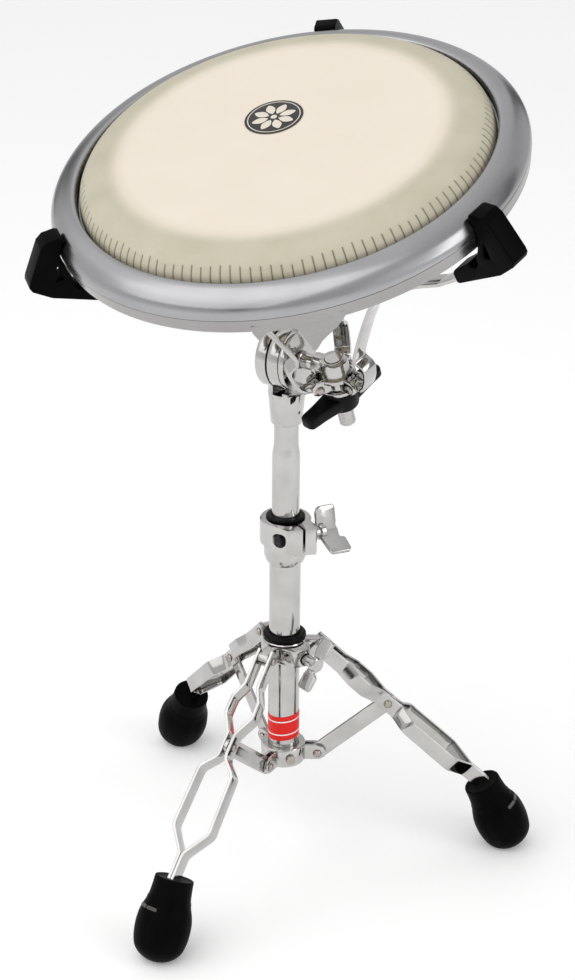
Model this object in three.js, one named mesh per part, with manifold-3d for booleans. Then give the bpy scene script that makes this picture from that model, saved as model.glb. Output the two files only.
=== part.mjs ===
// A shallow hand drum held by a three-armed basket on a double-braced tripod stand.
// Millimetres, +Z up. The stand is drawn about its own column, then moved so that
// the whole part's box is centred over the origin.
import * as THREE from 'three';
import { mergeVertices } from 'three/addons/utils/BufferGeometryUtils.js';
import Module from 'manifold-3d';

const wasm = await Module();
wasm.setup();

// ---------------------------------------------------------------- driving dimensions
const GAP = 0.3;
const SHIFT_X = -13.1;
const SHIFT_Y = 29.4;

const LOWER_R = 12.7;
const UPPER_R = 11.1;
const LOWER_BOTTOM = 84;
const LOWER_TOP = 300;
const UPPER_BOTTOM = 140;
const TAPER_LOW = 356;
const TAPER_HIGH = 366;
const NECK_R = 9.75;

const LEG_AZIMUTH = { right: 0, front: -120, back: 120 };
const LEG_PIVOT = [29.9, 187.6];
const STRUT_PIN = [28.3, 87.7];
const LEG_RIVET = [85.9, 135.6];
const LEG_ANGLE = 43.0;
const STRAP_WIDTH = 13;
const STRAP_THICK = 2.6;
const STRAP_END = 197;
const STRUT_WIDTH = 14;
const STRUT_THICK = 3;
const STRUT_PLAY = 4.2;
const STRUT_PLAY_SHIFT = 1.3;
const FOOT_TOP = [166.9, 59.3];
const FOOT_LEAN = 27;

const TILT_Z = 438;
const ROD_AZIMUTH = -34;
const DRUM_TILT = 21.4;
const HUB_REACH = 44;
const DISC_R = 25;
const ROD_R = 6.25;

const SEAM = 181;
const RIM_R = 170.6;
const ARM_ANGLES = { right: -8, back: 112, left: 232 };
const ARM_PIVOT = [17, -10];
const ARM_WIDTH = 13;
const ARM_THICK = 2.8;
const GRIP_WIDTH = 16.6;
const BOLT_ANGLES = [30, 102, 174, 246, 318];
const BOLT_CIRCLE = 160;

// ---------------------------------------------------------------- finishes
const finish = (color, roughness, metalness) =>
  new THREE.MeshStandardMaterial({ color, roughness, metalness });
const chrome = finish(0xc9cacc, 0.12, 1.0);
const satin = finish(0xb4b5b9, 0.28, 1.0);
const cast = finish(0xbfbfbd, 0.22, 1.0);
const rubber = finish(0x101010, 0.7, 0.0);
const plastic = finish(0x0c0c0d, 0.45, 0.0);
const red = finish(0xd42a26, 0.4, 0.0);
const skin = finish(0xeadfc6, 0.6, 0.0);
const ink = finish(0x1a1817, 0.6, 0.0);
const steel = finish(0x8a8580, 0.3, 1.0);

// ---------------------------------------------------------------- small helpers
const rad = THREE.MathUtils.degToRad;
const V = (x, y, z) => new THREE.Vector3(x, y, z);

function clean(geometry) {
  let g = geometry.index ? geometry.toNonIndexed() : geometry.clone();
  g.deleteAttribute('normal');
  g.deleteAttribute('uv');
  g = mergeVertices(g, 1e-4);
  const p = g.attributes.position;
  const index = Array.from(g.index.array);
  const kept = [];
  const a = V(0, 0, 0);
  const b = V(0, 0, 0);
  const c = V(0, 0, 0);
  let volume = 0;
  for (let i = 0; i < index.length; i += 3) {
    const [i0, i1, i2] = [index[i], index[i + 1], index[i + 2]];
    if (i0 === i1 || i1 === i2 || i2 === i0) continue;
    a.fromBufferAttribute(p, i0);
    b.fromBufferAttribute(p, i1);
    c.fromBufferAttribute(p, i2);
    volume += a.dot(b.clone().cross(c));
    kept.push(i0, i1, i2);
  }
  if (volume < 0) {
    for (let i = 0; i < kept.length; i += 3) {
      [kept[i], kept[i + 1]] = [kept[i + 1], kept[i]];
    }
  }
  g.setIndex(kept);
  return g;
}

function toManifold(geometry) {
  const g = clean(geometry);
  return new wasm.Manifold(new wasm.Mesh({
    numProp: 3,
    vertProperties: new Float32Array(g.attributes.position.array),
    triVerts: new Uint32Array(g.index.array),
  }));
}

function fromManifold(solid) {
  const mesh = solid.getMesh();
  const g = new THREE.BufferGeometry();
  g.setAttribute('position', new THREE.BufferAttribute(new Float32Array(mesh.vertProperties), 3));
  g.setIndex(Array.from(mesh.triVerts));
  return g;
}

function join(...parts) {
  return fromManifold(parts.map(toManifold).reduce((a, b) => a.add(b)));
}

function cut(base, ...tools) {
  return fromManifold(tools.map(toManifold).reduce((a, b) => a.subtract(b), toManifold(base)));
}

function keep(base, tool) {
  return fromManifold(toManifold(base).intersect(toManifold(tool)));
}

// A turned body about +Z from [radius, height] pairs; a loop that misses the axis is closed here.
function turn(profile, segments = 24) {
  const points = profile.map(([r, z]) => new THREE.Vector2(r, z));
  const onAxis = profile[0][0] === 0 && profile[profile.length - 1][0] === 0;
  if (!onAxis) points.push(points[0].clone());
  return new THREE.LatheGeometry(points, segments).rotateX(Math.PI / 2);
}

function rod(from, to, radius, segments = 12) {
  const span = to.clone().sub(from);
  const g = turn([[0, 0], [radius, 0], [radius, span.length()], [0, span.length()]], segments);
  g.applyQuaternion(new THREE.Quaternion().setFromUnitVectors(V(0, 0, 1), span.normalize()));
  return g.translate(from.x, from.y, from.z);
}

// A pin with a low domed head at each end.
function pin(from, to, radius, head, segments = 10) {
  const length = to.clone().sub(from).length();
  const profile = [
    [0, -1.5], [head * 0.6, -1.5], [head, 0], [radius, 0],
    [radius, length], [head, length], [head * 0.6, length + 1.5], [0, length + 1.5],
  ];
  const g = turn(profile, segments);
  g.applyQuaternion(new THREE.Quaternion().setFromUnitVectors(
    V(0, 0, 1), to.clone().sub(from).normalize()));
  return g.translate(from.x, from.y, from.z);
}

// A flat plate: an outline in (x, y), centred on the plane and `thick` deep along z.
function plate(outline, thick, holes = []) {
  const shape = new THREE.Shape(outline.map(([x, y]) => new THREE.Vector2(x, y)));
  for (const [x, y, r] of holes) {
    const path = new THREE.Path();
    path.absarc(x, y, r, 0, Math.PI * 2, true);
    shape.holes.push(path);
  }
  const g = new THREE.ExtrudeGeometry(shape, { depth: thick, bevelEnabled: false, curveSegments: 6 });
  return g.translate(0, 0, -thick / 2);
}

// The outline of a band of the given width along a path of [x, y] points.
function band(path, width) {
  const left = [];
  const right = [];
  for (let i = 0; i < path.length; i++) {
    const before = path[Math.max(i - 1, 0)];
    const after = path[Math.min(i + 1, path.length - 1)];
    const here = path[i];
    const d1 = new THREE.Vector2(here[0] - before[0], here[1] - before[1]);
    const d2 = new THREE.Vector2(after[0] - here[0], after[1] - here[1]);
    if (i === 0) d1.copy(d2);
    if (i === path.length - 1) d2.copy(d1);
    d1.normalize();
    d2.normalize();
    const n = new THREE.Vector2(-d1.y - d2.y, d1.x + d2.x).normalize();
    const stretch = width / 2 / Math.max(0.5, n.dot(new THREE.Vector2(-d1.y, d1.x)));
    left.push([here[0] + n.x * stretch, here[1] + n.y * stretch]);
    right.unshift([here[0] - n.x * stretch, here[1] - n.y * stretch]);
  }
  return left.concat(right);
}

function circle(x, y, radius, from, to, steps) {
  const points = [];
  for (let i = 0; i <= steps; i++) {
    const a = rad(from + (to - from) * i / steps);
    points.push([x + radius * Math.cos(a), y + radius * Math.sin(a)]);
  }
  return points;
}

function block(x0, x1, y0, y1, z0, z1) {
  const g = new THREE.BoxGeometry(x1 - x0, y1 - y0, z1 - z0);
  return g.translate((x0 + x1) / 2, (y0 + y1) / 2, (z0 + z1) / 2);
}

// Lays a drawing plane (x outward, y up, z sideways) at an azimuth about the z axis.
function upright(geometry, azimuth) {
  const a = rad(azimuth);
  const out = V(Math.cos(a), Math.sin(a), 0);
  const up = V(0, 0, 1);
  const m = new THREE.Matrix4().makeBasis(out, up, out.clone().cross(up));
  return geometry.applyMatrix4(m);
}

// A plan outline in (x, y) raised between two heights.
function slab(outline, z0, z1) {
  return plate(outline, z1 - z0).translate(0, 0, (z0 + z1) / 2);
}

function polar(radius, azimuth, z) {
  return V(radius * Math.cos(rad(azimuth)), radius * Math.sin(rad(azimuth)), z);
}

function hexagon(acrossFlats, z0, z1) {
  const r = acrossFlats / 2 / Math.cos(Math.PI / 6);
  return slab(circle(0, 0, r, 0, 300, 5), z0, z1);
}

const group = new THREE.Group();

function add(name, geometry, material) {
  const g = clean(geometry).toNonIndexed();
  g.computeVertexNormals();
  const mesh = new THREE.Mesh(g, material);
  mesh.name = name;
  group.add(mesh);
}

// ---------------------------------------------------------------- column and its castings
add('lower_tube', turn([
  [UPPER_R + GAP, LOWER_BOTTOM], [LOWER_R, LOWER_BOTTOM],
  [LOWER_R, LOWER_TOP], [UPPER_R + GAP, LOWER_TOP],
]), chrome);
add('tube_end_cap', turn([
  [0, LOWER_BOTTOM - 2.8], [LOWER_R - 0.6, LOWER_BOTTOM - 2.8], [LOWER_R, LOWER_BOTTOM - 2.2],
  [LOWER_R, LOWER_BOTTOM - GAP], [UPPER_R - 0.2, LOWER_BOTTOM - GAP],
  [UPPER_R - 0.2, LOWER_BOTTOM + 6], [0, LOWER_BOTTOM + 6],
]), plastic);
add('colour_band', turn([
  [LOWER_R + 0.25, 104], [LOWER_R + 0.7, 104], [LOWER_R + 0.7, 127], [LOWER_R + 0.25, 127],
]), red);

function bottomBracket() {
  const ear = [[14, 82.5], [30, 82.5], [34.5, 85], [35.5, 89], [33, 93.5], [27, 95.5], [14, 95.5]];
  const parts = [turn([
    [LOWER_R + GAP, 82], [17.8, 82], [18.4, 83], [18.4, 97], [17.8, 98], [LOWER_R + GAP, 98],
  ])];
  for (const azimuth of Object.values(LEG_AZIMUTH)) {
    for (const side of [-1, 1]) {
      const lug = plate(ear, 2.6, [[STRUT_PIN[0], STRUT_PIN[1], 2.4]]);
      parts.push(upright(lug.translate(0, 0, side * 3.2), azimuth));
    }
  }
  const screwHole = rod(polar(LOWER_R - 1, -72, 90), polar(21, -72, 90), 2.5);
  const boreClear = turn([[0, 80], [LOWER_R + GAP, 80], [LOWER_R + GAP, 100], [0, 100]]);
  return cut(join(...parts), boreClear, screwHole);
}
add('bottom_bracket', bottomBracket(), cast);
add('bracket_screw', join(
  rod(polar(LOWER_R + 0.6, -72, 90), polar(18.6, -72, 90), 2.1, 16),
  rod(polar(18.8, -72, 90), polar(21.4, -72, 90), 4.0, 16),
  rod(polar(18, -72, 90), polar(19, -72, 90), 2.1, 16),
), steel);

function legCollar() {
  const lug = [
    [14, 180], [24, 180], [31, 182], [35, 185], [35.8, 189], [33.5, 193.4], [28, 195.2], [14, 195.2],
  ];
  const parts = [turn([
    [LOWER_R + GAP, 179.6], [19, 179.6], [19, 193.4], [17.6, 196], [LOWER_R + GAP, 196],
  ], 20)];
  for (const azimuth of Object.values(LEG_AZIMUTH)) {
    const blade = plate(lug, 8.4, [[LEG_PIVOT[0], LEG_PIVOT[1], 2.4]]);
    parts.push(upright(blade, azimuth));
  }
  const face = slab([[-8.2, -17.1], [8, -26.5], [19.5, -21.2], [21, -12], [10, 0], [-6, -8]],
    180, 195);
  const bolt = rod(polar(LOWER_R - 2, -50, 186), polar(40, -50, 186), 3.6);
  const counterbore = rod(polar(22.6, -50, 186), polar(40, -50, 186), 5.7, 16);
  const slot = block(-1.7, 1.7, -3, 3, 184.4, 193).rotateZ(rad(30)).translate(-4.4, -19.4, 0);
  const pinHole = rod(V(4.6, -30, 190.5), V(0, -18, 190.5), 1.6);
  const bore = turn([[0, 170], [LOWER_R + GAP, 170], [LOWER_R + GAP, 200], [0, 200]]);
  return cut(join(...parts, face), bore, bolt, counterbore, slot, pinHole);
}
add('leg_collar', legCollar(), cast);
add('leg_collar_ring', turn([
  [LOWER_R + GAP, 196.3], [16.6, 196.3], [17.6, 197.3], [17.8, 198.8], [16.9, 200.6], [15, 201.4],
  [LOWER_R + GAP, 200.6],
]), plastic);

// A wing bolt along +x: thread, barrel and two lobes, each swung about the bolt's axis.
function wingBolt(thread, barrel, lobes) {
  const parts = [
    rod(V(thread[0], 0, 0), V(thread[1], 0, 0), thread[2], 16),
    rod(V(thread[1] - 0.6, 0, 0), V(barrel[0], 0, 0), barrel[1], 20),
    rod(V(barrel[0] - 0.6, 0, 0), V(barrel[0] + 4.5, 0, 0), barrel[1] + 1.8, 20),
  ];
  for (const lobe of lobes) {
    const blade = plate(lobe.outline, 3.2).rotateX(Math.PI / 2);
    parts.push(blade.rotateX(rad(lobe.swing)).translate(barrel[0], 0, 0));
  }
  return join(...parts);
}
const smallLobe = [
  [-3, 2], [3.6, 2], [4.4, 6.6], [8, 8.6], [9, 10.4], [9, 20.4], [7.4, 22.5], [-3, 22.5],
  [-4.8, 20.8], [-5, 10.4], [-3.6, 7],
];
add('leg_wing_bolt', wingBolt([13.2, 24.6, 3.2], [38, 4.6], [
  { outline: smallLobe, swing: -37 },
  { outline: smallLobe, swing: 143 },
]).rotateZ(rad(-50)).translate(0, 0, 186), chrome);

// ---------------------------------------------------------------- legs, struts and feet
// Leg coordinates: x along the leg from its pivot, y across the strap's width, z sideways.
function onLeg(geometry, azimuth) {
  geometry.rotateZ(-rad(LEG_ANGLE)).translate(LEG_PIVOT[0], LEG_PIVOT[1], 0);
  return upright(geometry, azimuth);
}

function strap(side) {
  const path = [
    [-6.5, 5.9], [25, 5.9], [37, 11.8], [51, 12.2], [67, 3.15], [87, 3.15],
    [99, 15], [149, 16.2], [169, 1.2], [STRAP_END, 1.2],
  ];
  const outline = band(path.map(([x, z]) => [x, side * z]), STRAP_THICK);
  return plate(outline, STRAP_WIDTH).rotateX(Math.PI / 2);
}

function legFrame() {
  const holes = [
    rod(V(0, 0, -12), V(0, 0, 12), 2.4),
    rod(V(76.4, 0, -8), V(76.4, 0, 8), 2.4),
  ];
  return cut(join(strap(1), strap(-1)), ...holes);
}

function strut() {
  const dx = LEG_RIVET[0] - STRUT_PIN[0];
  const dz = LEG_RIVET[1] - STRUT_PIN[1];
  const length = Math.hypot(dx, dz);
  const w = STRUT_WIDTH / 2;
  const outline = [...circle(0, 0, w, 90, 270, 8), ...circle(length, 0, w, -90, 90, 8)];
  const g = plate(outline, STRUT_THICK, [[0, 0, 2.4], [length - STRUT_PLAY_SHIFT, 0, STRUT_PLAY]]);
  return g.rotateZ(Math.atan2(dz, dx)).translate(STRUT_PIN[0], STRUT_PIN[1], 0);
}

function foot(azimuth) {
  const profile = [
    [0, 0], [15.4, 0], [16.4, 8], [17.4, 17], [21.2, 27], [22.4, 36], [21.8, 48], [17.8, 58],
    [10, 64.6], [0, 67],
  ];
  const body = turn(profile.map(([r, t]) => [r, -t]), 18);
  body.rotateY(-rad(FOOT_LEAN)).translate(FOOT_TOP[0], 0, FOOT_TOP[1]).rotateZ(rad(azimuth));
  const slot = onLeg(block(150, STRAP_END + 1.5, -STRAP_WIDTH / 2 - GAP, STRAP_WIDTH / 2 + GAP,
    -2.5 - GAP, 2.5 + GAP), azimuth);
  const floor = block(-400, 400, -400, 400, -60, 0);
  return cut(body, slot, floor);
}

for (const [side, azimuth] of Object.entries(LEG_AZIMUTH)) {
  const lateral = (reach, z, half) => {
    const out = polar(reach, azimuth, z);
    const across = V(-Math.sin(rad(azimuth)), Math.cos(rad(azimuth)), 0).multiplyScalar(half);
    return [out.clone().sub(across), out.clone().add(across)];
  };
  add(`leg_${side}`, onLeg(legFrame(), azimuth), chrome);
  add(`leg_pin_${side}`, pin(...lateral(LEG_PIVOT[0], LEG_PIVOT[1], 7.5), 2.1, 3.6), steel);
  add(`leg_rivet_${side}`, pin(...lateral(LEG_RIVET[0], LEG_RIVET[1], 4.75), 2.1, 3.8), steel);
  add(`strut_${side}`, upright(strut(), azimuth), chrome);
  add(`strut_pin_${side}`, pin(...lateral(STRUT_PIN[0], STRUT_PIN[1], 4.8), 2.1, 3.8), steel);
  add(`foot_${side}`, foot(azimuth), rubber);
}

// ---------------------------------------------------------------- height clamp
const CLAMP_BOLT_AZIMUTH = 30;
const CLAMP_BOLT_OFFSET = 17.3;
const CLAMP_BOLT_Z = 292;

// Clamp bolt coordinates: x along the bolt, the origin where it passes the slit.
function onClampBolt(geometry) {
  return geometry.rotateZ(rad(CLAMP_BOLT_AZIMUTH)).translate(
    CLAMP_BOLT_OFFSET * 0.5, -CLAMP_BOLT_OFFSET * 0.866, CLAMP_BOLT_Z);
}

function heightClamp() {
  const ears = slab([
    [-16.5, -13], [-12.4, -17.8], [1.6, -28.2], [24.2, -23.8], [25.2, -18], [15.2, 1.4], [0, 6],
  ], 281, 303);
  const body = turn([
    [LOWER_R + GAP, 264], [14, 264], [15.6, 266.5], [17.1, 271], [17.1, 280.5], [20.6, 282.5],
    [20.6, 302], [19.6, 303], [LOWER_R + GAP, 303],
  ], 24);
  const bore = turn([[0, 260], [LOWER_R + GAP, 260], [LOWER_R + GAP, 310], [0, 310]]);
  const slit = block(10, 40, -1, 1, 275, 310).rotateZ(rad(-60));
  const bolt = onClampBolt(rod(V(-40, 0, 0), V(40, 0, 0), 3.4));
  const pocket = onClampBolt(rod(V(-30, 0, 0), V(-11, 0, 0), 6.0, 16));
  const seat = onClampBolt(rod(V(13.6, 0, 0), V(30, 0, 0), 6.0, 16));
  return cut(join(ears, body), bore, slit, bolt, pocket, seat);
}
add('height_clamp', heightClamp(), cast);
add('height_bush', turn([
  [UPPER_R + 0.25, LOWER_TOP + 0.6], [LOWER_R, LOWER_TOP + 0.6], [LOWER_R, LOWER_TOP + 3.6],
  [15.6, LOWER_TOP + 3.6], [15.6, LOWER_TOP + 4.6], [14.6, LOWER_TOP + 5.4],
  [UPPER_R + 0.25, LOWER_TOP + 5.4],
]), plastic);

add('clamp_plug', onClampBolt(rod(V(-16.4, 0, 0), V(-11.6, 0, 0), 5.7, 16)), plastic);
const upperLobe = [
  [-1.6, 0], [15, 0], [16.2, 6], [16.6, 17], [15.4, 19.8], [3, 20.2], [0, 18.6], [-1.4, 15],
  [-2, 6],
];
const lowerLobe = [
  [-1, -4], [0, -4.4], [17, -4.2], [16, 3], [14, 9], [14.2, 10.4], [17.2, 11], [17.8, 14],
  [17, 24], [14.6, 26.4], [0, 25.4], [-1.8, 23], [-2.2, 10], [-2.2, -1],
];
add('height_wing_bolt', onClampBolt(wingBolt([-10.5, 14.8, 3.0], [20.4, 5.2], [
  { outline: upperLobe, swing: -16 },
  { outline: lowerLobe, swing: 112 },
])), chrome);

// ---------------------------------------------------------------- telescopic post and tilter
add('upper_tube', turn([
  [0, UPPER_BOTTOM], [UPPER_R, UPPER_BOTTOM], [UPPER_R, TAPER_LOW], [NECK_R, TAPER_HIGH],
  [NECK_R, 392], [0, 392],
]), chrome);

// Tilter coordinates: x along the tilt axis, y level and square to it, z up from the axis.
function onTilter(geometry) {
  return geometry.rotateZ(rad(ROD_AZIMUTH)).translate(0, 0, TILT_Z);
}

function tilterPost() {
  const low = 384 - TILT_Z;
  const socket = turn([
    [NECK_R + 0.15, low], [12, low], [12.4, low + 1], [14.4, low + 24], [14.6, low + 26],
    [0, low + 26], [0, low + 8.5], [NECK_R + 0.15, low + 8.5],
  ].reverse(), 24);
  const saddle = keep(
    turn([[0, low + 22], [14.5, low + 22], [14.5, -8], [0, -8]], 24),
    block(-20, -3.6, -20, 20, low, 0));
  const disc = rod(V(-12.8, 0, 0), V(-3.6, 0, 0), DISC_R, 32);
  const tab = block(4.5, 9.5, -3, 3, low + 25, low + 28).translate(0, -10, 0);
  const bolt = rod(V(-20, 0, 0), V(10, 0, 0), 4.3);
  const pinHole = rod(V(30, -3.7, low + 11), V(9, -1.1, low + 11), 1.3, 12);
  return cut(join(socket, saddle, disc, tab), bolt, pinHole);
}
add('tilter_post', onTilter(tilterPost()), cast);
add('tilter_gasket', onTilter(cut(
  rod(V(-3.3, 0, 0), V(-2.4, 0, 0), DISC_R - 0.5, 32),
  rod(V(-5, 0, 0), V(0, 0, 0), 4.4))), plastic);
add('tilter_bolt', onTilter(join(
  rod(V(-15.8, 0, 0), V(-13.1, 0, 0), 7, 16),
  rod(V(-13.4, 0, 0), V(3, 0, 0), 4.0, 16))), steel);
add('tilter_rotor', onTilter(cut(
  rod(V(-2.1, 0, 0), V(7.7, 0, 0), DISC_R, 32),
  rod(V(-4, 0, 0), V(3.4, 0, 0), 4.3))), cast);

function tilterFace() {
  const disc = rod(V(8.0, 0, 0), V(12.7, 0, 0), DISC_R - 0.4, 32);
  const chord = block(0, 30, -60, 60, 0, 40).translate(0, 0, 14.5).rotateX(-rad(42));
  return cut(disc, chord);
}
add('tilter_face', onTilter(tilterFace()), cast);

// Basket coordinates: origin in the hub, x along the rod, z along the drum's own axis.
const rodAzimuth = rad(ROD_AZIMUTH);
const axisX = V(Math.cos(rodAzimuth), Math.sin(rodAzimuth), 0);
const axisZ = polar(Math.sin(rad(DRUM_TILT)), ROD_AZIMUTH - 90, Math.cos(rad(DRUM_TILT)));
const axisY = axisZ.clone().cross(axisX);
const hubPoint = axisX.clone().multiplyScalar(HUB_REACH).setZ(TILT_Z);
const basketFrame = new THREE.Matrix4().makeBasis(axisX, axisY, axisZ).setPosition(hubPoint);

function onBasket(geometry) {
  return geometry.applyMatrix4(basketFrame);
}

const faceX = 13 - HUB_REACH;
add('tilter_rod', onBasket(join(
  rod(V(faceX, 0, 0), V(-9.6, 0, 0), ROD_R, 20),
  rod(V(faceX, 0, 0), V(faceX + 3, 0, 0), 7.5, 20))), chrome);

function basketHub() {
  const parts = [
    turn([[0, -14.6], [10.4, -14.6], [11, -13.8], [11, 8], [9.6, 9.4], [0, 9.4]], 20),
    rod(V(-17, 0, 0), V(-4, 0, 0), 9, 20),
    turn([[0, -5.6], [15, -5.6], [15, -2.6], [0, -2.6]], 20),
  ];
  const ear = [[7, -14.4], [19, -14.4], [22, -12.4], [23, -9], [22, -5.4], [19, -3], [7, -2.8]];
  for (const angle of Object.values(ARM_ANGLES)) {
    for (const side of [-1, 1]) {
      const lug = plate(ear, 2.8, [[ARM_PIVOT[0], ARM_PIVOT[1], 2.4]]);
      parts.push(upright(lug.translate(0, 0, side * 5.9), angle));
    }
  }
  const spindleBore = turn([[0, -20], [6.8, -20], [6.8, 20], [0, 20]], 20);
  const rodBore = rod(V(-30, 0, 0), V(-9.3, 0, 0), ROD_R + GAP, 20);
  let hub = cut(join(...parts), spindleBore, rodBore);
  for (const angle of Object.values(ARM_ANGLES)) {
    const room = block(11.6, 26, -16, 0, -4.5, 4.5);
    hub = cut(hub, upright(room, angle));
  }
  return hub;
}
add('basket_hub', onBasket(basketHub()), cast);
add('basket_spindle', onBasket(turn([
  [0, -54], [5.6, -54], [6.4, -53], [6.4, 10], [0, 10],
], 20)), steel);
add('pressure_disc', onBasket(turn([
  [6.8, -18.4], [14, -18.4], [14, -15.6], [6.8, -15.6],
], 20)), cast);

function basketNut() {
  const half = [
    [6, -10.5], [14, -9.5], [26, -8], [34, -7.2], [38.6, -5.6], [39.6, 0], [38.6, 5.6], [34, 7.2],
    [26, 8], [14, 9.5], [6, 10.5],
  ];
  const lobe = (turnBy) => slab(half, -32.6, -22.6).rotateZ(rad(turnBy));
  const hub = turn([
    [0, -35.6], [11.6, -35.6], [12.6, -34.6], [13, -21], [12, -18.8], [0, -18.8],
  ], 20);
  const bore = turn([[0, -40], [6.8, -40], [6.8, -10], [0, -10]], 20);
  return cut(join(hub, lobe(77), lobe(257)), bore);
}
add('basket_nut', onBasket(basketNut()), plastic);

// ---------------------------------------------------------------- basket arms and grips
const armPath = [
  [27, -8.4], [31.5, -4.5], [35, 4], [36.6, 12.6], [35, 16], [29, 19.4], [28.6, 23], [32, 31],
  [36.5, 41], [45.5, 60], [55, 78], [66, 93], [80, 104], [94, 111], [112, 119], [127, 125],
  [141, 133.5], [152, 141], [160, 145.6], [170, 151],
];

function arm() {
  const ribbon = plate(band(armPath, ARM_THICK), ARM_WIDTH);
  const tab = plate(band([[17, -10], [28, -8]], 4.4), 8);
  const eye = rod(V(ARM_PIVOT[0], ARM_PIVOT[1], -4), V(ARM_PIVOT[0], ARM_PIVOT[1], 4), 4.6, 16);
  const hole = rod(V(ARM_PIVOT[0], ARM_PIVOT[1], -9), V(ARM_PIVOT[0], ARM_PIVOT[1], 9), 2.4);
  return cut(join(ribbon, tab, eye), hole);
}

// Grip outline, as distance beyond the rim and height above the rim's seam.
function gripOutline(top) {
  return [
    [-1.2, -11.6], [0.6, -2], [0.8, 1], [0.1, 5.4], [-2.2, 9.6], [-4.8, top - 3.4],
    [-4.4, top - 1.2], [-1.8, top], [7, top], [12, top - 3.4], [26.8, -10.5], [28, -14],
    [26.6, -17.6], [15, -27.5], [-8, -39], [-21.8, -46], [-24, -45.6], [-26.2, -39], [-25.2, -36.2],
    [-12.2, -26.2], ...circle(-7.4, -23, 4.7, 215, 390, 7), [-2, -14.6],
  ];
}

function grip(top) {
  const outline = gripOutline(top).map(([r, h]) => [RIM_R + r, SEAM + h]);
  const body = plate(outline, GRIP_WIDTH);
  const tail = armPath.slice(-5, -1).concat([[170.3, 151.16]]);
  const channel = plate(band(tail, ARM_THICK + 2 * GAP), ARM_WIDTH + 2 * GAP);
  const [x, y] = [RIM_R, SEAM];
  const window = plate([[x + 4.5, y - 3], [x + 3.5, y - 16], [x + 9, y - 16]], GRIP_WIDTH + 4);
  return cut(body, channel, window);
}

for (const [side, angle] of Object.entries(ARM_ANGLES)) {
  add(`arm_${side}`, onBasket(upright(arm(), angle)), chrome);
  const across = polar(1, angle + 90, 0).multiplyScalar(7.6);
  const centre = polar(ARM_PIVOT[0], angle, ARM_PIVOT[1]);
  add(`arm_pin_${side}`, onBasket(pin(centre.clone().sub(across), centre.clone().add(across),
    2.1, 3.9)), steel);
  const top = side === 'back' ? 13.6 : 16.4;
  add(`grip_${side}`, onBasket(upright(grip(top), angle)), rubber);
}

// ---------------------------------------------------------------- drum
const RING = 44;

function rimBody() {
  const shell = turn([
    [170.6, SEAM + 0.2], [170, SEAM + 4.6], [167.8, SEAM + 8.6], [163.4, SEAM + 12.6],
    [157.4, SEAM + 15.1], [151.4, SEAM + 15.9], [149.8, SEAM + 14.9], [149.6, SEAM + 10.6],
    [151.6, SEAM + 10.6], [152.2, SEAM + 13], [157, SEAM + 12.3], [162, SEAM + 10],
    [165.8, SEAM + 6.4], [168, SEAM + 0.2],
  ], RING);
  const bosses = BOLT_ANGLES.map((angle) =>
    rod(polar(BOLT_CIRCLE, angle, SEAM + 1.6), polar(BOLT_CIRCLE, angle, SEAM + 12), 5.2, 12));
  const bores = BOLT_ANGLES.map((angle) =>
    rod(polar(BOLT_CIRCLE, angle, SEAM), polar(BOLT_CIRCLE, angle, SEAM + 9.5), 3.1, 12));
  return cut(join(shell, ...bosses), ...bores);
}
add('rim', onBasket(rimBody()), satin);

add('head', onBasket(turn([
  [0, SEAM + 29], [115, SEAM + 28.8], [126, SEAM + 27.8], [134, SEAM + 26], [140, SEAM + 22.8],
  [144, SEAM + 18.8], [146.6, SEAM + 14], [147.6, SEAM + 8.6], [146.3, SEAM + 8.6],
  [145.3, SEAM + 13.6], [142.8, SEAM + 18], [139, SEAM + 21.8], [133.4, SEAM + 24.8],
  [125.6, SEAM + 26.5], [115, SEAM + 27.5], [0, SEAM + 27.7],
].reverse(), RING)), skin);
add('head_hoop', onBasket(turn([
  [146.2, SEAM + 3], [147.6, SEAM + 1.8], [150.2, SEAM + 1.8], [151.6, SEAM + 3],
  [151.6, SEAM + 6.4], [150.2, SEAM + 8], [147.6, SEAM + 8], [146.2, SEAM + 6.8],
], RING)), steel);

function drumShell() {
  const body = turn([
    [170.3, SEAM - 0.35], [168.7, SEAM - 10.75], [165.8, SEAM - 10.75], [166.6, SEAM - 6.6],
    [139.5, SEAM - 6.6], [139.5, SEAM - 26], [134.5, SEAM - 26], [134.5, SEAM + 21],
    [135.8, SEAM + 22.4], [137.6, SEAM + 21.2], [139.5, SEAM + 16], [139.5, SEAM - 3.6],
    [167.4, SEAM - 3.6], [167.8, SEAM - 0.35],
  ], RING);
  const outline = [
    [-32, -5.5], [-31.6, -11], [-28.4, -18], [-26.2, -15.4], [-21.8, -12], [-6, -12],
    [-2.4, -14.6], [-1.2, -18.4], [1.8, -26], [4.6, -34.4], [7.4, -32], [11.5, -26.5],
    [23, -17.4], [29.5, -10], [30, -5.5],
  ];
  const lug = plate(outline, 4.6).rotateX(Math.PI / 2).rotateZ(Math.PI / 2);
  lug.translate(165.4, 0, SEAM).rotateZ(rad(304.5));
  const bores = BOLT_ANGLES.map((angle) =>
    rod(polar(BOLT_CIRCLE, angle, SEAM - 12), polar(BOLT_CIRCLE, angle, SEAM), 3.1, 12));
  return cut(join(body, lug), ...bores);
}
add('shell', onBasket(drumShell()), satin);

BOLT_ANGLES.forEach((angle, i) => {
  const bolt = join(
    hexagon(9, SEAM - 12.6, SEAM - 6.9),
    turn([[0, SEAM - 7.4], [2.8, SEAM - 7.4], [2.8, SEAM + 8.6], [0, SEAM + 8.6]], 12));
  const place = polar(BOLT_CIRCLE, angle, 0);
  add(`tuning_bolt_${i + 1}`, onBasket(bolt.translate(place.x, place.y, 0)), steel);
});

const EMBLEM = [-16, 17];
add('emblem', onBasket(turn([
  [0, SEAM + 29.25], [21, SEAM + 29.25], [21, SEAM + 29.6], [0, SEAM + 29.6],
], 32).translate(EMBLEM[0], EMBLEM[1], 0)), ink);

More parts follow.
